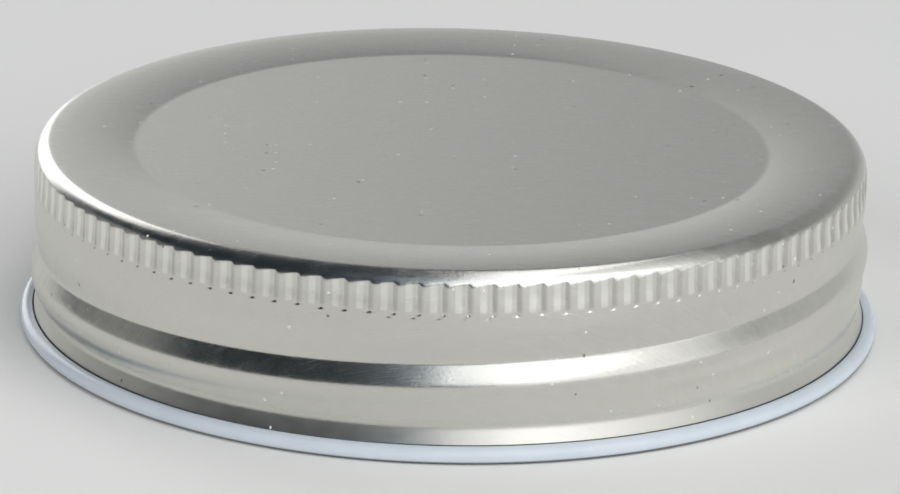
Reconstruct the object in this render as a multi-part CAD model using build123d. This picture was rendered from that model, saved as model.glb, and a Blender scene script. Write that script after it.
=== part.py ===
from build123d import *
import os
from math import cos, pi, radians, sin, sqrt

# One-piece screw lid for a glass jar: a thin steel cap, drawn from one sheet,
# with a knurled shoulder, a rolled right-hand thread and a curled hem, and a
# ring of sealing compound under the raised rim of its top. Millimetres, +Z up,
# origin at the middle of the plane that the hem stands on.

# Sheet and overall form
sheet_thickness = 0.25
wall_radius = 35.4
lid_height = 15.8
shoulder_radius = 1.5

# Top: a flat centre panel, lower than the crest of the rim around it.
# The rim's width and its crest's inset are measured in from the wall.
rim_width = 8.4
panel_recess = 0.48
rim_crest_inset = 2.8
rim_fall_radius = 20.0

# Foot of the wall: it tapers in above the hem and flares out again onto it
foot_taper_height = 4.3
foot_neck_depth = 0.35
foot_neck_height = 2.75
hem_flare = 0.1

# Curled hem: the sheet turns out and up, and its cut edge stops at the wall
hem_height = 1.42
hem_wrap_angle = 300.0

# Knurl: upright flutes that run out through the shoulder
flute_count = 112
flute_width = 1.4
flute_depth = 0.24
flute_floor_width = 0.76
flute_foot_drop = 3.6
flute_overcut = 0.1
flute_start_angle = 1.83

# Rolled thread, at the pitch of a regular-mouth jar finish, 4 threads an inch:
# a groove that grips the jar's thread, and the bead that stands out below it.
# The groove's middle is a drop below the top at angle zero, and the bead's
# crest is a drop below that middle. Angles run anticlockwise from +X, seen
# from above.
thread_pitch = 6.35
groove_drop_at_zero = 6.04
groove_depth = 0.35
groove_floor = 0.3
groove_upper_flank = 2.0
groove_lower_flank = 1.6
groove_overcut = 0.7
groove_top_angle = 45.0
groove_end_angle = -415.0
bead_crest_drop = 2.25
bead_height = 0.32
bead_width = 2.7
bead_root = 0.96
bead_top_angle = 45.0
bead_end_angle = -255.0
bead_runout_sink = 0.64
thread_runout_angle = 40.0
path_points_per_runout = 4

# Sealing ring: it starts outside the panel's edge and stops short of the wall
seal_panel_inset = 1.2
seal_wall_inset = 1.0
seal_depth = 1.1
seal_sag = 0.2

# Worked out from the sizes above
panel_radius = wall_radius - rim_width
panel_height = lid_height - panel_recess
rim_crest_radius = wall_radius - rim_crest_inset
rim_rise_run = rim_crest_radius - panel_radius
rim_rise_radius = (rim_rise_run**2 + panel_recess**2) / (2 * panel_recess)
rim_fall_centre_height = lid_height - rim_fall_radius
shoulder_centre_radius = wall_radius - shoulder_radius
shoulder_centre_reach = shoulder_centre_radius - rim_crest_radius
shoulder_centre_distance = rim_fall_radius - shoulder_radius
shoulder_centre_height = rim_fall_centre_height + sqrt(
    shoulder_centre_distance**2 - shoulder_centre_reach**2
)
foot_neck_radius = wall_radius - foot_neck_depth
hem_wall_radius = wall_radius + hem_flare
hem_radius = hem_height / 2
hem_centre_radius = hem_wall_radius - sheet_thickness + hem_radius
seal_inner_radius = panel_radius + seal_panel_inset
seal_outer_radius = wall_radius - seal_wall_inset


def rim_rise_reach(inset):
    """How far inside the rim's crest its rise meets the panel."""
    radius = rim_rise_radius - inset
    return sqrt(panel_recess * (2 * radius - panel_recess))


def shoulder_join(inset):
    """Point where the rim's outer fall runs into the shoulder's round."""
    lean = shoulder_centre_reach / shoulder_centre_distance
    radius = shoulder_radius - inset
    return (
        shoulder_centre_radius + radius * lean,
        shoulder_centre_height + radius * sqrt(1 - lean**2),
    )


def point_on_rim_rise(reach):
    """Point of the rise's inner face at a distance from the lid's axis."""
    radius = rim_rise_radius - sheet_thickness
    centre_height = lid_height - rim_rise_radius
    return (reach, centre_height + sqrt(radius**2 - (rim_crest_radius - reach) ** 2))


def point_on_shoulder(reach):
    """Point of the shoulder's inner face at a distance from the lid's axis."""
    radius = shoulder_radius - sheet_thickness
    lean = reach - shoulder_centre_radius
    return (reach, shoulder_centre_height + sqrt(radius**2 - lean**2))


def cap_form(inset):
    """Solid of revolution inside the sheet's outer face, less an inset."""
    crease = (rim_crest_radius - rim_rise_reach(inset), panel_height - inset)
    crest = (rim_crest_radius, lid_height - inset)
    shoulder_top = shoulder_join(inset)
    shoulder_end = (wall_radius - inset, shoulder_centre_height)
    taper_top = (wall_radius - inset, foot_taper_height)
    neck = (foot_neck_radius - inset, foot_neck_height)
    hem_top = (hem_wall_radius - inset, hem_height)
    hem_start = (hem_wall_radius - inset, hem_radius)
    with BuildSketch(Plane.XZ) as section:
        with BuildLine():
            Polyline((0, hem_radius), (0, panel_height - inset), crease)
            RadiusArc(crease, crest, rim_rise_radius - inset)
            RadiusArc(crest, shoulder_top, rim_fall_radius - inset)
            RadiusArc(shoulder_top, shoulder_end, shoulder_radius - inset)
            Polyline(shoulder_end, taper_top, neck, hem_top, hem_start, (0, hem_radius))
        make_face()
    return revolve(section.sketch, Axis.Z)


def hem():
    """Curled hem: an arc of sheet that starts at the foot of the wall."""
    start, end = pi, pi + radians(hem_wrap_angle)
    inner = hem_radius - sheet_thickness

    def corner(radius, angle):
        return (hem_centre_radius + radius * cos(angle), hem_radius + radius * sin(angle))

    middle = (start + end) / 2
    with BuildSketch(Plane.XZ) as section:
        with BuildLine():
            ThreePointArc(corner(inner, start), corner(inner, middle), corner(inner, end))
            Line(corner(inner, end), corner(hem_radius, end))
            ThreePointArc(
                corner(hem_radius, end), corner(hem_radius, middle), corner(hem_radius, start)
            )
            Line(corner(hem_radius, start), corner(inner, start))
        make_face()
    return revolve(section.sketch, Axis.Z)


def flutes(inset):
    """Cutters of the knurl's flutes, grown by an inset for the inside."""
    side = (flute_width - flute_floor_width) / 2 / flute_depth
    floor = wall_radius - flute_depth
    swell = inset * sqrt(1 + side**2)

    def half_width(reach):
        return flute_floor_width / 2 + (reach - floor) * side + swell

    deep = floor - inset
    mouth = wall_radius - inset + flute_overcut
    foot = lid_height - flute_foot_drop - inset
    with BuildSketch() as section:
        with BuildLine():
            Polyline(
                (deep, -half_width(deep)), (deep, half_width(deep)),
                (mouth, half_width(mouth)), (mouth, -half_width(mouth)), close=True,
            )
        make_face()
    cutter = Pos(0, 0, foot) * extrude(section.sketch, lid_height + flute_overcut - foot)
    step = 360 / flute_count
    return [Rot(0, 0, flute_start_angle + step * n) * cutter for n in range(flute_count)]


def thread_path(radius, top_angle, end_angle, drop, sink):
    """Helix that leaves the wall over the run-out at both of its ends."""
    height_at_zero = lid_height - groove_drop_at_zero - drop
    runouts = (top_angle - end_angle) / thread_runout_angle
    count = round(runouts * path_points_per_runout)
    points = []
    for n in range(count + 1):
        angle = top_angle + (end_angle - top_angle) * n / count
        to_end = min(top_angle - angle, angle - end_angle) / thread_runout_angle
        ramp = min(to_end, 1)
        ease = ramp * ramp * (3 - 2 * ramp)
        reach = radius + sink * (1 - ease)
        height = height_at_zero + thread_pitch * angle / 360
        points.append(
            (reach * cos(radians(angle)), reach * sin(radians(angle)), height)
        )
    return Spline(points)


def along_thread(section, path):
    """Sweep of a flat section, drawn as radius and height, along the thread."""
    start = path @ 0
    outward = Vector(start.X, start.Y, 0).normalized()
    plane = Plane(origin=start, x_dir=outward, z_dir=outward.cross(Vector(0, 0, 1)))
    return sweep(plane * section, path, is_frenet=True)


def groove(inset):
    """Cutter of the rolled groove, measured from the wall at its middle."""
    away = bead_height + groove_overcut
    half = groove_floor / 2
    low = -half - groove_lower_flank
    high = half + groove_upper_flank
    with BuildSketch() as section:
        with BuildLine():
            Polyline(
                (-groove_depth, half),
                (-groove_depth, -half),
                (bead_height, low),
                (away, low),
                (away, high),
                (0, high),
                close=True,
            )
        make_face()
    path = thread_path(
        wall_radius - inset, groove_top_angle, groove_end_angle, 0, away + groove_depth
    )
    return along_thread(section.sketch, path)


def bead(inset):
    """The bead below the groove, drawn as one arc over a root in the wall."""
    half = bead_width / 2
    with BuildSketch() as section:
        with BuildLine():
            ThreePointArc((0, half), (bead_height, 0), (0, -half))
            Polyline((0, -half), (-bead_root, -half), (-bead_root, half), (0, half))
        make_face()
    path = thread_path(
        wall_radius - inset,
        bead_top_angle,
        bead_end_angle,
        bead_crest_drop,
        -bead_runout_sink,
    )
    return along_thread(section.sketch, path)


def rolled_form(inset):
    """The cap with its bead, groove and knurl, solid inside, less an inset."""
    form = cap_form(inset)
    form = form + bead(inset)
    form = form - groove(inset)
    return form - flutes(inset)


def lid_shell():
    """The pressed sheet: its outer form, hollowed one sheet thickness in."""
    shell = rolled_form(0) - rolled_form(sheet_thickness)
    return shell + hem()


def sealing_ring():
    """Ring of compound that fills the channel under the rim and sags a little."""
    ceiling = lid_height - sheet_thickness
    inner_top = point_on_rim_rise(seal_inner_radius)
    outer_top = point_on_shoulder(seal_outer_radius)
    underside = ceiling - seal_depth
    middle = (seal_inner_radius + seal_outer_radius) / 2
    crest = (rim_crest_radius, ceiling)
    shoulder_top = shoulder_join(sheet_thickness)
    with BuildSketch(Plane.XZ) as section:
        with BuildLine():
            RadiusArc(inner_top, crest, rim_rise_radius - sheet_thickness)
            RadiusArc(crest, shoulder_top, rim_fall_radius - sheet_thickness)
            RadiusArc(shoulder_top, outer_top, shoulder_radius - sheet_thickness)
            Line(outer_top, (seal_outer_radius, underside))
            ThreePointArc(
                (seal_outer_radius, underside),
                (middle, underside + seal_sag),
                (seal_inner_radius, underside),
            )
            Line((seal_inner_radius, underside), inner_top)
        make_face()
    return revolve(section.sketch, Axis.Z)


def write_part(name, shape):
    shape.label = name
    export_step(shape, f"parts/{name}.step")
    print(name, round(shape.volume, 2))


if __name__ == "__main__":
    os.makedirs("parts", exist_ok=True)
    write_part("lid_shell", lid_shell())
    write_part("sealing_ring", sealing_ring())
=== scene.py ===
from math import asin, cos, pi, radians, sin, sqrt

import bpy
from mathutils import Matrix, Vector


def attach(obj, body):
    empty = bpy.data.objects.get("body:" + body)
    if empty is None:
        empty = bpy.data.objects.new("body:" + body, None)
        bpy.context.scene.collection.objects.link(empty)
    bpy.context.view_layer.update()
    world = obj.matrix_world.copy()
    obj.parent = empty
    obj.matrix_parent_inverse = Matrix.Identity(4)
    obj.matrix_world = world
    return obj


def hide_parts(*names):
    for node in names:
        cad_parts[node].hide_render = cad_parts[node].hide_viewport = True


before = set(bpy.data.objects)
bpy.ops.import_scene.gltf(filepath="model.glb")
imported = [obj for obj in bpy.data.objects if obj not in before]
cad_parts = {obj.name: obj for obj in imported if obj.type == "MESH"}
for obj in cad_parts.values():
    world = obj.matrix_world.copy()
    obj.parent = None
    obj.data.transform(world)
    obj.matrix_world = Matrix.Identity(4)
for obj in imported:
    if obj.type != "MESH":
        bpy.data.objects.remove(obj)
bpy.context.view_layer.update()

# One-piece steel jar lid, standing on its hem. Lengths are metres.
MM = 0.001

# The pressed sheet, as in the part
sheet = 0.25 * MM
wall_radius = 35.4 * MM
lid_height = 15.8 * MM
shoulder_radius = 1.5 * MM
panel_radius = 27.0 * MM
panel_recess = 0.48 * MM
rim_crest_radius = 32.6 * MM
rim_fall_radius = 20.0 * MM
foot_taper_height = 4.3 * MM
foot_neck_radius = 35.05 * MM
foot_neck_height = 2.75 * MM
hem_wall_radius = 35.5 * MM
hem_height = 1.42 * MM

# The hem's curl, 5 degrees more than in the part
hem_wrap_angle = 305.0

# Knurl, shallower than in the part
flute_count = 112
flute_depth = 0.16 * MM
flute_foot_height = 12.2 * MM
flute_start_angle = 1.83

# Rolled thread, with the bead 0.15 mm nearer to the groove than in the part
thread_pitch = 6.35 * MM
groove_height_at_zero = 9.76 * MM
groove_depth = 0.35 * MM
groove_floor = 0.3 * MM
groove_upper_flank = 2.0 * MM
groove_lower_flank = 1.6 * MM
groove_top_angle = 45.0
groove_end_angle = -415.0
bead_crest_drop = 2.1 * MM
bead_height = 0.32 * MM
bead_width = 2.7 * MM
bead_top_angle = 45.0
bead_end_angle = -255.0
thread_runout_angle = 40.0

# Roundings where the foot's taper meets its flare and the wall, of the thread,
# of the panel's crease and of the knurl, and how far the flare runs down behind
# the top of the hem
foot_round = 0.14 * MM
wall_round = 0.20 * MM
thread_round = 0.12 * MM
crease_round = 0.03 * MM
knurl_round = 0.06 * MM
flare_drop = 0.08 * MM

# Worked out as in the part
rim_rise_run = rim_crest_radius - panel_radius
rim_rise_radius = (rim_rise_run**2 + panel_recess**2) / (2 * panel_recess)
panel_height = lid_height - panel_recess
shoulder_centre_radius = wall_radius - shoulder_radius
shoulder_lean = (shoulder_centre_radius - rim_crest_radius) / (rim_fall_radius - shoulder_radius)
shoulder_centre_height = lid_height - rim_fall_radius + (
    (rim_fall_radius - shoulder_radius) * sqrt(1 - shoulder_lean**2)
)
shoulder_top_tilt = pi / 2 - asin(shoulder_lean)
hem_radius = hem_height / 2
hem_centre_radius = hem_wall_radius - sheet + hem_radius
bead_runout_sink = 2 * bead_height
groove_runout_lift = bead_height + 3 * groove_depth


def smooth_step(x):
    x = min(max(x, 0.0), 1.0)
    return x * x * (3 - 2 * x)


def soft_min(a, b, blend):
    """The smaller of two reaches, with a rounded edge where they cross."""
    h = max(blend - abs(a - b), 0.0) / blend
    return min(a, b) - h * h * blend / 4


def soft_max(a, b, blend):
    """The larger of two reaches, with a rounded edge where they cross."""
    return -soft_min(-a, -b, blend)


def run_out(turn_angle, top_angle, end_angle):
    """1 along the thread, falling to 0 over the run-out at both ends."""
    to_end = min(top_angle - turn_angle, turn_angle - end_angle) / thread_runout_angle
    return smooth_step(to_end)


def line_between(x, x0, y0, x1, y1):
    """Value at x of the straight line through two points."""
    return y0 + (y1 - y0) * (x - x0) / (x1 - x0)


def groove_reach(drop):
    """Radius of the groove's section at a height above its floor's middle."""
    half = groove_floor / 2
    up = drop - half
    down = -half - drop
    climb = (groove_depth + bead_height) / groove_lower_flank
    rise = groove_depth / groove_upper_flank
    return wall_radius - groove_depth + max(up * rise, down * climb, 0.0)


def bead_reach(drop):
    """Radius of the bead's round section at a height above its crest; none far off."""
    half = bead_width / 2
    radius = (half**2 + bead_height**2) / (2 * bead_height)
    if abs(drop) >= bead_width:
        return 0.0
    return wall_radius + bead_height - radius + sqrt(radius**2 - drop**2)


def plain_wall(height):
    """Radius of the wall without its thread, rounded at the neck of its foot."""
    taper = line_between(height, foot_taper_height, wall_radius, foot_neck_height, foot_neck_radius)
    taper = soft_min(taper, wall_radius, wall_round)
    flare = line_between(height, foot_neck_height, foot_neck_radius, hem_height, hem_wall_radius)
    if height < hem_height - flare_drop:
        return hem_wall_radius
    return soft_max(taper, flare, foot_round)


def wall_reach(angle, height):
    """Outer radius of the threaded wall at an angle in degrees and a height."""
    reach = plain_wall(height)
    for turn in (0, -1):
        around = angle + 360 * turn
        neck = groove_height_at_zero + thread_pitch * around / 360
        held = run_out(around, bead_top_angle, bead_end_angle)
        if held > 0:
            sunk = bead_runout_sink * (1 - held)
            bead = bead_reach(height - neck + bead_crest_drop) - sunk
            reach = soft_max(reach, bead, thread_round)
        held = run_out(around, groove_top_angle, groove_end_angle)
        if held > 0:
            lifted = groove_runout_lift * (1 - held)
            reach = soft_min(reach, groove_reach(height - neck) + lifted, thread_round)
    return reach


# How far the knurl's strikes stray from flute to flute: in place and in width,
# as shares of a flute, and in the height of the foot. The width takes the
# difference that belongs to a flute a number of places further on.
strike_stray = 0.02
strike_stretch = 0.05
foot_stray = 0.06 * MM
wobble_rates = (12.9898, 4.1414)
wobble_shift = 1.3
width_places = 31


def wobble(number, scale):
    """A small repeatable difference for one flute, from -scale to scale."""
    fast, slow = wobble_rates
    return scale * sin(fast * number) * cos(slow * number + wobble_shift)


# Each flute leans over: its floor is deeper at the right, where it ends in a
# steep side, than at the left, and the ridges between are struck down a little
# too. It is deepest halfway down and fades out towards its foot, where only its
# right corner still ends in a small, slanting ledge. Offsets are from the
# flute's middle, left negative.
floor_left = -0.70 * MM
floor_right = 0.50 * MM
floor_lean = 0.09 * MM
side_left = 0.30 * MM
side_right = 0.20 * MM
ridge_depth = 0.03 * MM
waist_depth = 0.06 * MM
corner_left = 0.12 * MM
corner_depth = 0.085 * MM
foot_fade = 0.06 * MM
foot_slant = 0.45
flute_ledge = 0.09 * MM
flute_edge_round = 0.02 * MM
flute_floor_round = 0.03 * MM

# Where the knurling wheel's run ends over its start, each flute is struck
# twice: a wide strike and a narrower, deeper-reaching one beside it
double_struck_from = -98.0
double_struck_to = -83.0
first_strike = (0.57, 0.80, 0.0)
second_strike = (0.38, 0.62, -0.28 * MM)
flute_step = 360 / flute_count
flute_arc = 2 * pi * wall_radius / flute_count


def flute_strikes(number):
    """(middle of the strike, share of the full width, shift of its foot)."""
    centre = flute_start_angle + flute_step * number
    centre = (centre + 180) % 360 - 180
    if double_struck_from < centre < double_struck_to:
        return [first_strike, second_strike]
    middle = 0.5 + wobble(number, strike_stray)
    share = 1 + wobble(number + width_places, strike_stretch)
    return [(middle, share, wobble(number, foot_stray))]


def strike_reach(strike, phase, height):
    """Radius of one strike's cut at a phase from one ridge to the next."""
    middle, share, foot_shift = strike
    foot = flute_foot_height + foot_shift
    aside = (phase - middle) * flute_arc / share
    down = (shoulder_centre_height - height) / (shoulder_centre_height - foot)
    full = flute_depth + waist_depth * smooth_step(2 * down) * smooth_step(2 - 2 * down)
    left = (aside - floor_left + side_left) * full / side_left
    right = (floor_right + side_right - aside) * full / side_right
    floor = full - floor_lean * (floor_right - aside) / (floor_right - floor_left)
    depth = soft_min(soft_min(left, right, flute_edge_round), floor, flute_floor_round)
    depth = soft_max(depth, ridge_depth, flute_edge_round)
    corner = smooth_step((aside - corner_left) / (floor_right - corner_left))
    corner = min(corner * (corner_depth + foot_fade), right + foot_fade) - foot_fade
    depth += (min(corner, depth) - depth) * smooth_step(down)
    under = foot + foot_slant * min(aside - floor_right, 0.0) + flute_ledge - height
    return wall_radius - depth + max(under, 0.0) * corner_depth / flute_ledge


def flute_reach(number, phase, height):
    """Radius of a flute's cut, by whichever of its strikes goes deepest."""
    return min(strike_reach(strike, phase, height) for strike in flute_strikes(number))


# Painted light on the flutes: a painted highlight on each flute's floor and
# a painted shade at its right side, as phases from one ridge to the next. They
# start above the flute's foot and end on the shoulder.
bright_start = 0.16
bright_rise = 0.12
bright_end = 0.55
bright_fall = 0.10
dull_start = 0.68
dull_rise = 0.06
dull_end = 0.78
dull_fall = 0.22
dull_drop = 0.8
paint_above_foot = 0.1 * MM
paint_foot_fade = 0.4 * MM
paint_on_shoulder = 0.7 * MM


def flute_painted_light(phase, height):
    """Painted light on the flutes: 1 is painted highlight, -1 is painted shade."""
    over = height - flute_foot_height - paint_above_foot
    if over < 0 or height > shoulder_centre_height + paint_on_shoulder:
        return 0.0
    bright = smooth_step((phase - bright_start) / bright_rise)
    bright *= smooth_step((bright_end - phase) / bright_fall)
    dull = smooth_step((phase - dull_start) / dull_rise)
    dull *= 1 - dull_drop * smooth_step((phase - dull_end) / dull_fall)
    return (bright - dull) * smooth_step(over / paint_foot_fade)


# Phases of the mesh's columns in each flute, from ridge to ridge: close to the
# knurl's edges, along its main edges, and where the sheet isn't knurled
FINE = [0, 0.06, 0.11, 0.17, 0.26, 0.37, 0.46, 0.56, 0.68, 0.74, 0.79, 0.86]
PLAIN = [0, 0.17, 0.56, 0.74]
COARSE = [0, 0.56]

STEEL, LACQUER, RAW_EDGE = 0, 1, 2


class Skin:
    """Builds the closed skin of the sheet from rings of points."""

    def __init__(self):
        self.points = []
        self.flat = []
        self.painted_flute_light = []
        self.faces = []
        self.slots = []
        self.length = 0.0
        self.last = None

    def pole(self, height):
        """Adds a point on the axis, for the first or the last ring to close to."""
        self.points.append((0.0, 0.0, height))
        self.flat.append((0.0, 0.0))
        self.painted_flute_light.append(0.0)
        return len(self.points) - 1

    def ring(self, phases, place, advance, slot):
        """Adds a ring; place gives radius and height for one column."""
        self.length += advance
        first = len(self.points)
        for number in range(flute_count):
            for phase in phases:
                angle = flute_start_angle + flute_step * (number + phase - 0.5)
                radius, height = place(number, phase, angle)
                along = (cos(radians(angle)), sin(radians(angle)))
                self.points.append((radius * along[0], radius * along[1], height))
                self.flat.append((self.length * along[0], self.length * along[1]))
                # Painted highlight and painted shade on the flutes, on the steel only
                self.painted_flute_light.append(flute_painted_light(phase, height) if slot == STEEL else 0.0)
        ring = (first, flute_count * len(phases))
        if self.last is not None:
            self.stitch(self.last, ring, slot)
        self.last = ring

    def stitch(self, old, new, slot):
        """Faces between two rings, one of which may have more columns."""
        steps = min(old[1], new[1])
        for n in range(steps):
            side = []
            for first, count in (old, new):
                per = count // steps
                side.append([first + (n * per + k) % count for k in range(per + 1)])
            self.faces.append(side[0][::-1] + side[1])
            self.slots.append(slot)

    def cap(self, pole, ring, slot, outward):
        """Faces between a ring and the pole inside it."""
        first, count = ring
        for n in range(count):
            a, b = first + n, first + (n + 1) % count
            self.faces.append([pole, a, b] if outward else [pole, b, a])
            self.slots.append(slot)


def spread(start, end, count):
    """Evenly spaced values after start, up to and with end."""
    return [start + (end - start) * n / count for n in range(1, count + 1)]


def rim_height(radius, inset):
    """Height of the top's skin inside the shoulder's round."""
    if radius >= rim_crest_radius:
        fall = rim_fall_radius - inset
        return lid_height - rim_fall_radius + sqrt(fall**2 - (radius - rim_crest_radius) ** 2)
    rise = rim_rise_radius - inset
    reach = min(rim_crest_radius - radius, rise / 2)
    height = lid_height - rim_rise_radius + sqrt(rise**2 - reach**2)
    return soft_max(height, panel_height - inset, crease_round)


def top_ring(radius, inset):
    """Ring on the panel or on the rim around it."""
    return lambda number, phase, angle: (radius, rim_height(radius, inset))


def shoulder_ring(tilt, inset):
    """Ring on the shoulder's round, at an angle above level."""

    def place(number, phase, angle):
        arc = shoulder_radius - inset
        radius = shoulder_centre_radius + arc * cos(tilt)
        height = shoulder_centre_height + arc * sin(tilt)
        cut = flute_reach(number, phase, height + inset) - inset
        return soft_min(radius, cut, knurl_round), height

    return place


def wall_ring(height, inset, knurled):
    """Ring on the wall, with or without the flutes."""

    def place(number, phase, angle):
        radius = wall_reach(angle, height) - inset
        if knurled:
            cut = flute_reach(number, phase, height) - inset
            radius = soft_min(radius, cut, knurl_round)
        return radius, height

    return place


# How the hem's cut edge strays: jagged and slow, in degrees round its curl
edge_jag = 2.0
edge_jag_rates = (9.1, 3.7)
edge_jag_shift = 0.6
edge_drift = 1.5
edge_drift_rate = 0.23


def edge_wander(number, phase):
    """How far the hem's cut edge strays at a flute, in degrees round its curl."""
    spot = number + phase
    fast, slow = edge_jag_rates
    jag = edge_jag * sin(fast * spot) * cos(slow * spot + edge_jag_shift)
    return jag + edge_drift * sin(edge_drift_rate * spot)


def hem_ring(turn, radius):
    """Ring round the hem's curl; turn runs from 0 at the wall to 1 at its edge."""

    def place(number, phase, angle):
        wrap = hem_wrap_angle + turn * edge_wander(number, phase)
        around = pi + radians(wrap * turn)
        return hem_centre_radius + radius * cos(around), hem_radius + radius * sin(around)

    return place


def top_rings(skin, start, reaches, inset, slot):
    """Rings over the top at each of the reaches, after the one at start."""
    for last, reach in zip([start] + reaches, reaches):
        skin.ring(COARSE, top_ring(reach, inset), reach - last, slot)


def shoulder_rings(skin, start, tilts, inset, phases, slot):
    """Rings round the shoulder at each of the tilts, after the one at start."""
    for last, tilt in zip([start] + tilts, tilts):
        skin.ring(phases, shoulder_ring(tilt, inset), (last - tilt) * shoulder_radius, slot)


def wall_rings(skin, start, heights, inset, phases, slot):
    """Rings along the wall, with the flutes in them unless they are coarse."""
    for last, height in zip([start] + heights, heights):
        skin.ring(phases, wall_ring(height, inset, phases is not COARSE), last - height, slot)


def hem_rings(skin, start, turns, radius, edge_zone, slot):
    """Rings round the hem's curl, finer in the zone next to its cut edge."""
    curl = radius * radians(hem_wrap_angle)
    for last, turn in zip([start] + turns, turns):
        phases = PLAIN if turn > 1 - edge_zone else COARSE
        skin.ring(phases, hem_ring(turn, radius), (turn - last) * curl, slot)


# Where the mesh's rows change: the first ring round the pole, the rows beside
# the panel's crease, the shoulder's tilt where the flutes begin, the rows at
# the feet of the flutes, outside and inside, the rows behind the hem's top, as
# shares of the flare's drop, and the finer share of the hem's curl next to its
# cut edge, inside and outside
pole_ring = 3 * MM
before_crease = 1.6 * MM
crease_rows = [step * MM for step in (-0.9, -0.5, -0.3, -0.15, 0.0, 0.15, 0.3, 0.5, 0.9)]
inner_crease_row = 0.3 * MM
knurl_tilt = radians(52)
above_feet = flute_foot_height + 0.5 * MM
below_feet = flute_foot_height - 0.4 * MM
inner_above_feet = flute_foot_height + 0.2 * MM
inner_below_feet = flute_foot_height - 0.6 * MM
flare_rows = (0.9, 1.2)
inner_edge_zone = 0.1
outer_edge_zone = 0.07


def add_outside(skin):
    """The top, the knurled shoulder, the threaded wall and its foot."""
    pole = skin.pole(panel_height)
    skin.ring(COARSE, top_ring(pole_ring, 0), pole_ring, STEEL)
    skin.cap(pole, skin.last, STEEL, True)
    reaches = spread(pole_ring, panel_radius - before_crease, 6)
    reaches += [panel_radius + row for row in crease_rows]
    reaches += spread(reaches[-1], rim_crest_radius, 6)
    shoulder_top = shoulder_centre_radius + shoulder_radius * shoulder_lean
    reaches += spread(rim_crest_radius, shoulder_top, 8)
    top_rings(skin, pole_ring, reaches, 0, STEEL)

    plain_tilts = spread(shoulder_top_tilt, knurl_tilt, 7)
    shoulder_rings(skin, shoulder_top_tilt, plain_tilts, 0, COARSE, STEEL)
    shoulder_rings(skin, knurl_tilt, spread(knurl_tilt, 0, 16), 0, FINE, STEEL)

    heights = spread(shoulder_centre_height, above_feet, 4)
    heights += spread(above_feet, below_feet, 12)
    wall_rings(skin, shoulder_centre_height, heights, 0, FINE, STEEL)
    heights = spread(below_feet, hem_height, 76)
    heights += [hem_height - share * flare_drop for share in flare_rows]
    wall_rings(skin, below_feet, heights + [hem_radius], 0, COARSE, STEEL)


def add_hem(skin):
    """The inside of the hem's curl, its cut edge and its outside."""
    hem_rings(skin, 0, spread(0, 1, 12), hem_radius - sheet, inner_edge_zone, STEEL)
    skin.ring(PLAIN, hem_ring(1, hem_radius), sheet, RAW_EDGE)
    hem_rings(skin, 1, spread(1, 0, 26), hem_radius, outer_edge_zone, LACQUER)


def add_inside(skin):
    """The inside of the wall, of the shoulder and of the top."""
    heights = [hem_height] + spread(hem_height, inner_below_feet, 40)
    wall_rings(skin, hem_radius, heights, sheet, COARSE, LACQUER)
    heights = spread(inner_below_feet, inner_above_feet, 5)
    heights += spread(inner_above_feet, shoulder_centre_height, 4)
    wall_rings(skin, inner_below_feet, heights, sheet, PLAIN, LACQUER)

    shoulder_rings(skin, 0, spread(0, shoulder_top_tilt, 9), sheet, PLAIN, LACQUER)
    shoulder_top = shoulder_centre_radius + (shoulder_radius - sheet) * shoulder_lean
    reaches = spread(shoulder_top, rim_crest_radius, 5)
    reaches += spread(rim_crest_radius, panel_radius + inner_crease_row, 6)
    reaches += [panel_radius, panel_radius - inner_crease_row]
    reaches += spread(panel_radius - inner_crease_row, pole_ring, 5)
    top_rings(skin, shoulder_top, reaches, sheet, LACQUER)
    skin.cap(skin.pole(panel_height - sheet), skin.last, LACQUER, False)


def build_shell():
    """The sheet's closed skin, from the middle of its top to the inside of it."""
    skin = Skin()
    add_outside(skin)
    add_hem(skin)
    add_inside(skin)
    return skin


# Length of the flat sheet's unit, in which its texture is measured
flat_unit = 100 * MM


def mesh_object(name, skin, materials):
    """Object of a skin, with its flat sheet as texture coordinates."""
    mesh = bpy.data.meshes.new(name)
    mesh.from_pydata(skin.points, [], skin.faces)
    flat = mesh.uv_layers.new(name="sheet")
    for loop in mesh.loops:
        x, y = skin.flat[loop.vertex_index]
        flat.data[loop.index].uv = (x / flat_unit, y / flat_unit)
    # The flutes' painted highlight and painted shade, as a point attribute
    mesh.attributes.new("painted_flute_light", "FLOAT", "POINT").data.foreach_set("value", skin.painted_flute_light)
    for face, slot in zip(mesh.polygons, skin.slots):
        face.material_index = slot
        face.use_smooth = True
    for material in materials:
        mesh.materials.append(material)
    mesh.update()
    made = bpy.data.objects.new(name, mesh)
    bpy.context.scene.collection.objects.link(made)
    return made


def new_material(name):
    """A new material, its nodes and its shader."""
    material = bpy.data.materials.new(name)
    material.use_nodes = True
    tree = material.node_tree
    return material, tree, tree.nodes["Principled BSDF"]


def add(tree, kind, values=None, links=None, **settings):
    """Adds a node with its settings, socket values and incoming links."""
    node = tree.nodes.new(kind)
    for name, value in settings.items():
        setattr(node, name, value)
    for socket, value in (values or {}).items():
        node.inputs[socket].default_value = value
    for socket, source in (links or {}).items():
        tree.links.new(source, node.inputs[socket])
    return node


def noise(tree, place, scale, stretch=(1, 1, 1), detail=3.0, roughness=0.5):
    """Noise over the flat sheet; scale counts its features in a flat unit."""
    where = add(
        tree, "ShaderNodeMapping", {"Scale": [scale * part for part in stretch]}, {"Vector": place}
    )
    texture = add(
        tree, "ShaderNodeTexNoise", {"Scale": 1.0, "Detail": detail, "Roughness": roughness},
        {"Vector": where.outputs["Vector"]},
    )
    return texture.outputs["Fac"]


def ramp(tree, value, start, end, low, high):
    """Smooth change from low to high as a value goes from start to end."""
    node = add(
        tree, "ShaderNodeMapRange",
        {"From Min": start, "From Max": end, "To Min": low, "To Max": high},
        {"Value": value}, interpolation_type="SMOOTHSTEP",
    )
    return node.outputs["Result"]


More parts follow.
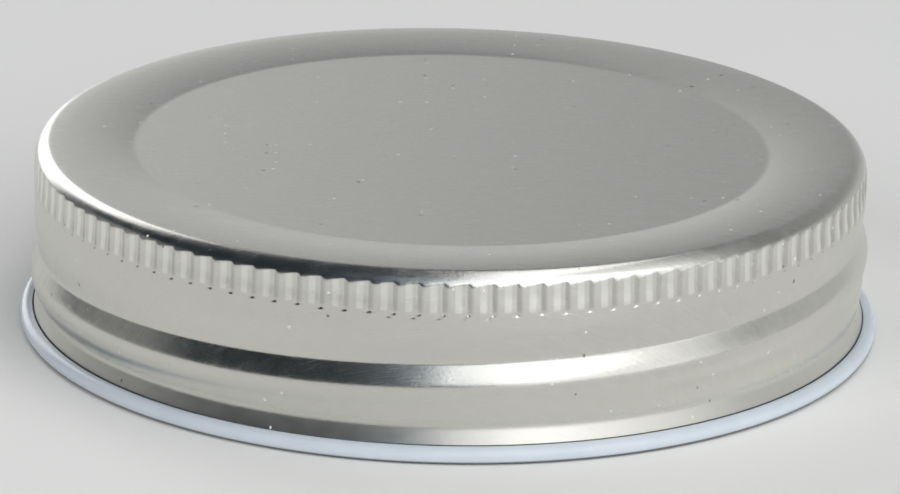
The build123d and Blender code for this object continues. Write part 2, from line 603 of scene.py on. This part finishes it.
def maths(tree, operation, a, b):
    """Result of one operation on two values, each a number or an output."""
    node = tree.nodes.new("ShaderNodeMath")
    node.operation = operation
    for socket, value in zip(node.inputs, (a, b)):
        if isinstance(value, (int, float)):
            socket.default_value = value
        else:
            tree.links.new(value, socket)
    return node.outputs[0]


def product(tree, first, *others):
    """Several values multiplied together."""
    for other in others:
        first = maths(tree, "MULTIPLY", first, other)
    return first


def mixed(tree, factor, a, b):
    """Blend of two colours, each a tuple or an output."""
    node = add(tree, "ShaderNodeMix", data_type="RGBA")
    for socket, value in ((node.inputs[0], factor), (node.inputs[6], a), (node.inputs[7], b)):
        if isinstance(value, (int, float)):
            socket.default_value = value
        elif isinstance(value, tuple):
            socket.default_value = (*value, 1)
        else:
            tree.links.new(value, socket)
    return node.outputs[2]


def space_noise(tree, scale, detail):
    """Noise in space; scale counts its features in a metre."""
    place = add(tree, "ShaderNodeTexCoord").outputs["Object"]
    texture = add(tree, "ShaderNodeTexNoise", {"Scale": scale, "Detail": detail}, {"Vector": place})
    return texture.outputs["Fac"]


def add_relief(tree, shader, height, strength):
    """Gives a shader a fine relief from a height."""
    settings = {"Strength": strength, "Distance": relief_depth}
    bump = add(tree, "ShaderNodeBump", settings, {"Height": height})
    tree.links.new(bump.outputs["Normal"], shader.inputs["Normal"])


def specks(tree, place, scale, size, share):
    """1 in small round spots, in a share of the cells of a scattered grid."""
    cells = add(
        tree, "ShaderNodeTexVoronoi", {"Scale": scale}, {"Vector": place}, voronoi_dimensions="2D"
    )
    pick = add(tree, "ShaderNodeSeparateColor", None, {"Color": cells.outputs["Color"]})
    chosen = maths(tree, "LESS_THAN", pick.outputs["Red"], share)
    grown = product(tree, pick.outputs["Green"], size)
    near = maths(tree, "LESS_THAN", cells.outputs["Distance"], grown)
    return product(tree, chosen, near)


# Depth that the relief of every finish is measured in
relief_depth = 0.1 * MM

# Where the wall and its foot start on the flat sheet, and the width of the
# change there, in flat units from the middle
wall_start = 0.365
foot_start = 0.470
wall_change = 0.01

# Tones of the steel
grain_dark = (0.70, 0.685, 0.65)
grain_pale = (0.76, 0.745, 0.705)
mottle_pale = (0.79, 0.78, 0.76)
wall_tone = (0.64, 0.625, 0.57)
painted_flute_highlight = (0.96, 0.95, 0.915)
painted_flute_shade = (0.33, 0.32, 0.29)
scratch_tone = (0.35, 0.33, 0.31)
pit_tone = (0.10, 0.095, 0.09)
dust_tone = (0.85, 0.85, 0.84)


def steel_material():
    material, tree, shader = new_material("brushed_tinned_steel")
    place = add(tree, "ShaderNodeUVMap", uv_map="sheet").outputs["UV"]
    out = add(tree, "ShaderNodeVectorMath", None, {0: place}, operation="LENGTH").outputs["Value"]
    painted_flute_light = add(tree, "ShaderNodeAttribute", attribute_name="painted_flute_light").outputs["Fac"]
    grain = noise(tree, place, 25, (1, 45, 1), 4.0, 0.6)
    fine = noise(tree, place, 60, (1, 30, 1), 2.0)
    mottle = noise(tree, place, 45, (1, 1.6, 1), 4.0, 0.6)
    peel = noise(tree, place, 300, (1, 1.2, 1), 2.0)
    scratches = ramp(tree, noise(tree, place, 35, (1, 26, 1), 1.0), 0.66, 0.74, 0.0, 1.0)
    pits = specks(tree, place, 38, 0.07, 0.10)
    dust = specks(tree, place, 40, 0.055, 0.30)

    tone = mixed(tree, ramp(tree, grain, 0.3, 0.7, 0.0, 1.0), grain_dark, grain_pale)
    tone = mixed(tree, ramp(tree, mottle, 0.35, 0.7, 0.0, 0.35), tone, mottle_pale)
    on_wall = ramp(tree, out, wall_start, wall_start + wall_change, 0.0, 0.4)
    tone = mixed(tree, on_wall, tone, wall_tone)
    # Painted highlight on the flutes' floors and painted shade at their right sides
    tone = mixed(tree, ramp(tree, painted_flute_light, 0.0, 1.0, 0.0, 0.6), tone, painted_flute_highlight)
    tone = mixed(tree, ramp(tree, painted_flute_light, 0.0, -1.0, 0.0, 0.38), tone, painted_flute_shade)
    tone = mixed(tree, product(tree, scratches, 0.12), tone, scratch_tone)
    tone = mixed(tree, product(tree, pits, 0.6), tone, pit_tone)
    tone = mixed(tree, product(tree, dust, 0.6), tone, dust_tone)
    tree.links.new(tone, shader.inputs["Base Color"])

    rough = ramp(tree, mottle, 0.3, 0.7, 0.20, 0.26)
    satin = ramp(tree, noise(tree, place, 2200, (1, 1, 1), 0.0), 0.52, 0.62, 0.0, 0.10)
    on_foot = ramp(tree, out, foot_start, foot_start + wall_change, 0.0, 0.10)
    for more in (ramp(tree, grain, 0.3, 0.7, -0.02, 0.03), product(tree, dust, 0.4), satin, on_foot):
        rough = maths(tree, "ADD", rough, more)
    tree.links.new(rough, shader.inputs["Roughness"])

    relief = maths(tree, "ADD", grain, product(tree, fine, 0.5))
    relief = maths(tree, "ADD", relief, product(tree, peel, 4.5))
    add_relief(tree, shader, relief, 0.025)

    # The brushing runs straight across the flat sheet, and dust isn't metal
    tangent = add(tree, "ShaderNodeTangent", direction_type="UV_MAP", uv_map="sheet")
    tree.links.new(tangent.outputs["Tangent"], shader.inputs["Tangent"])
    shader.inputs["Anisotropic"].default_value = 0.35
    shader.inputs["Anisotropic Rotation"].default_value = 0.25
    tree.links.new(maths(tree, "SUBTRACT", 1.0, dust), shader.inputs["Metallic"])
    return material


# Tones of the lacquer, of the painted shade low on the hem where it meets the
# floor, and the heights on the hem that the painted shade fades between
lacquer_dark = (0.62, 0.68, 0.745)
lacquer_pale = (0.65, 0.71, 0.775)
contact_shade_tone = (0.06, 0.06, 0.055)
contact_shade_full = 0.12 * MM
contact_shade_end = 0.40 * MM


def lacquer_material():
    material, tree, shader = new_material("white_lacquer")
    place = add(tree, "ShaderNodeUVMap", uv_map="sheet").outputs["UV"]
    cloud = noise(tree, place, 18, (1, 1, 1), 3.0)
    peel = noise(tree, place, 220, (1, 1, 1), 2.0)
    in_space = add(tree, "ShaderNodeTexCoord").outputs["Object"]
    height = add(tree, "ShaderNodeSeparateXYZ", None, {"Vector": in_space}).outputs["Z"]
    tone = mixed(tree, ramp(tree, cloud, 0.3, 0.7, 0.0, 1.0), lacquer_dark, lacquer_pale)
    # Painted shade low on the hem, where it meets the floor
    tone = mixed(tree, ramp(tree, height, contact_shade_full, contact_shade_end, 0.9, 0.0), tone, contact_shade_tone)
    tree.links.new(tone, shader.inputs["Base Color"])
    tree.links.new(ramp(tree, cloud, 0.3, 0.7, 0.16, 0.24), shader.inputs["Roughness"])
    add_relief(tree, shader, peel, 0.12)
    return material


def raw_edge_material():
    material, tree, shader = new_material("cut_steel_edge")
    streaks = space_noise(tree, 2600.0, 2.0)
    tone = mixed(tree, streaks, (0.50, 0.49, 0.47), (0.80, 0.79, 0.77))
    tree.links.new(tone, shader.inputs["Base Color"])
    tree.links.new(ramp(tree, streaks, 0.3, 0.7, 0.3, 0.5), shader.inputs["Roughness"])
    shader.inputs["Metallic"].default_value = 1.0
    return material


def compound_material():
    material, tree, shader = new_material("sealing_compound")
    cloud = space_noise(tree, 260.0, 4.0)
    tone = mixed(tree, cloud, (0.66, 0.645, 0.60), (0.74, 0.73, 0.69))
    tree.links.new(tone, shader.inputs["Base Color"])
    tree.links.new(ramp(tree, cloud, 0.3, 0.7, 0.42, 0.58), shader.inputs["Roughness"])
    add_relief(tree, shader, space_noise(tree, 2400.0, 2.0), 0.2)
    return material


def floor_material():
    material, tree, shader = new_material("pale_floor")
    tone = mixed(tree, space_noise(tree, 30.0, 5.0), (0.89, 0.885, 0.865), (0.91, 0.905, 0.885))
    tree.links.new(tone, shader.inputs["Base Color"])
    shader.inputs["Roughness"].default_value = 0.85
    shader.inputs["Specular IOR Level"].default_value = 0.2
    return material


# The lid
shell = mesh_object(
    "jar_lid_sheet", build_shell(), [steel_material(), lacquer_material(), raw_edge_material()]
)
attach(shell, "root")
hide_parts("lid_shell")

ring = bpy.data.objects["sealing_ring"]
compound = compound_material()
for slot in ring.material_slots:
    slot.material = compound

# Floor: how far it reaches to the sides and the front, and behind the lid
floor_reach = 3.0
floor_behind = 1.5
floor_corners = [
    (-floor_reach, -floor_reach, 0), (floor_reach, -floor_reach, 0),
    (floor_reach, floor_behind, 0), (-floor_reach, floor_behind, 0),
]
floor_mesh = bpy.data.meshes.new("floor")
floor_mesh.from_pydata(floor_corners, [], [(0, 1, 2, 3)])
floor_mesh.materials.append(floor_material())
floor = bpy.data.objects.new("floor", floor_mesh)
bpy.context.scene.collection.objects.link(floor)


def softbox(name, corner, across, along, radiance, mirrored=True):
    """Rectangular lamp spanned by two edges from a corner, facing the lid."""
    middle = corner + (across + along) / 2
    side = across.normalized()
    facing = across.cross(along).normalized()
    if facing.dot(middle) < 0:
        facing = -facing
    turned = Matrix((side, facing.cross(side), facing)).transposed().to_4x4()
    lamp = bpy.data.lights.new(name, "AREA")
    lamp.shape = "RECTANGLE"
    lamp.size = across.length
    lamp.size_y = along.length
    lamp.energy = radiance * pi * across.length * along.length
    placed = bpy.data.objects.new(name, lamp)
    placed.matrix_world = Matrix.Translation(middle) @ turned
    placed.visible_camera = False
    placed.visible_glossy = mirrored
    bpy.context.scene.collection.objects.link(placed)


# Lamps: a long one over the front with a fill in the same place, a narrow one
# above, an upright one behind at the left, and a fill at the left. The steel
# doesn't mirror the two fills.
key_corner = Vector((-0.18, -1.75, 0.46))
key_across = Vector((0.62, -0.06, -0.20))
key_along = Vector((0.25, 1.55, 0.09))
softbox("key_softbox", key_corner, key_across, key_along, 1.35)
softbox("key_fill", key_corner, key_across, key_along, 1.1, mirrored=False)
softbox(
    "top_softbox", Vector((0.03, -0.2, 0.55)), Vector((0.14, 0, -0.03)), Vector((0, 0.60, 0)), 1.6,
)
softbox(
    "left_softbox", Vector((-0.73, 0.68, 0.01)), Vector((0.47, 0.285, 0)), Vector((0, 0, 0.95)), 1.6,
)
softbox(
    "left_fill", Vector((-1.5, -0.9, 0.5)), Vector((0.5, -0.9, 0)), Vector((0.5, 0.3, 0.9)), 3.0,
    mirrored=False,
)

# Tints of the surroundings where they are dark and where they glow, and their
# least strength
dark_tint = (0.55, 0.78, 1.0)
glow_tint = (0.98, 1.0, 1.0)
least_glow = 0.03


def studio_world():
    """Surroundings, by direction: x points right, y back and z up."""
    world = bpy.data.worlds.new("studio")
    world.use_nodes = True
    sky = world.node_tree
    towards = add(sky, "ShaderNodeTexCoord").outputs["Generated"]
    parts = add(sky, "ShaderNodeSeparateXYZ", None, {"Vector": towards})
    x, y, z = parts.outputs["X"], parts.outputs["Y"], parts.outputs["Z"]

    # Behind the lid, from the floor up to a soft edge: brightest low and left
    behind = product(
        sky, ramp(sky, y, 0.1, 0.6, 0.0, 1.0), ramp(sky, x, -0.65, -0.45, 0.0, 1.0),
        ramp(sky, z, 0.56, 0.66, 1.0, 0.0),
    )
    level = product(sky, ramp(sky, z, 0.18, 0.34, 0.63, 0.405), ramp(sky, x, -0.15, 0.14, 1.3, 0.65))

    # To the right: grey, darker towards the back and a little paler low down
    turned = ramp(sky, maths(sky, "ADD", x, y), 0.45, 0.95, 0.85, 0.17)
    low = ramp(sky, z, 0.1, 0.45, 0.35, 0.0)
    grey = product(sky, ramp(sky, x, 0.15, 0.4, 0.0, 1.0), maths(sky, "ADD", turned, low))

    # At the far left, but not in front: a low, dim patch
    left = product(
        sky, ramp(sky, x, -0.8, -0.95, 0.0, 0.22), ramp(sky, y, -0.22, -0.02, 0.0, 1.0),
        ramp(sky, z, 0.32, 0.46, 1.0, 0.0),
    )

    # In front, but not at the left: a dim patch above the floor
    cool = product(
        sky, ramp(sky, y, -0.2, -0.6, 0.0, 1.0), ramp(sky, z, 0.1, 0.25, 0.0, 1.0),
        ramp(sky, x, -0.36, -0.1, 0.0, 0.22),
    )

    glow = maths(sky, "MAXIMUM", product(sky, behind, level), maths(sky, "MAXIMUM", grey, left))
    tint = mixed(sky, ramp(sky, glow, 0.0, 0.17, 0.0, 1.0), dark_tint, glow_tint)
    strength = maths(sky, "ADD", maths(sky, "MAXIMUM", glow, cool), least_glow)
    background = sky.nodes["Background"]
    sky.links.new(tint, background.inputs["Color"])
    sky.links.new(strength, background.inputs["Strength"])
    return world


bpy.context.scene.world = studio_world()

# Camera, from the photograph's angle
camera_distance = 493.6 * MM
camera_elevation = 0.3348
camera_roll = -0.0215
sensor_width = 36
focal_length = 229.6
aim_across = 0.2 * MM
aim_above = 5.9 * MM
eye = Vector((0, -camera_distance * cos(camera_elevation), camera_distance * sin(camera_elevation)))
level_up = Vector((0, sin(camera_elevation), cos(camera_elevation)))
side = Vector((1, 0, 0)) * cos(camera_roll) - level_up * sin(camera_roll)
up = Vector((1, 0, 0)) * sin(camera_roll) + level_up * cos(camera_roll)
aim = side * aim_across + up * aim_above
back = (eye - aim).normalized()
side = up.cross(back).normalized()
up = back.cross(side)
lens = bpy.data.cameras.new("camera")
lens.sensor_width = sensor_width
lens.lens = focal_length
camera = bpy.data.objects.new("camera", lens)
camera.matrix_world = Matrix.Translation(eye) @ Matrix((side, up, back)).transposed().to_4x4()
bpy.context.scene.collection.objects.link(camera)
bpy.context.scene.camera = camera
bpy.context.scene.view_settings.view_transform = "Standard"
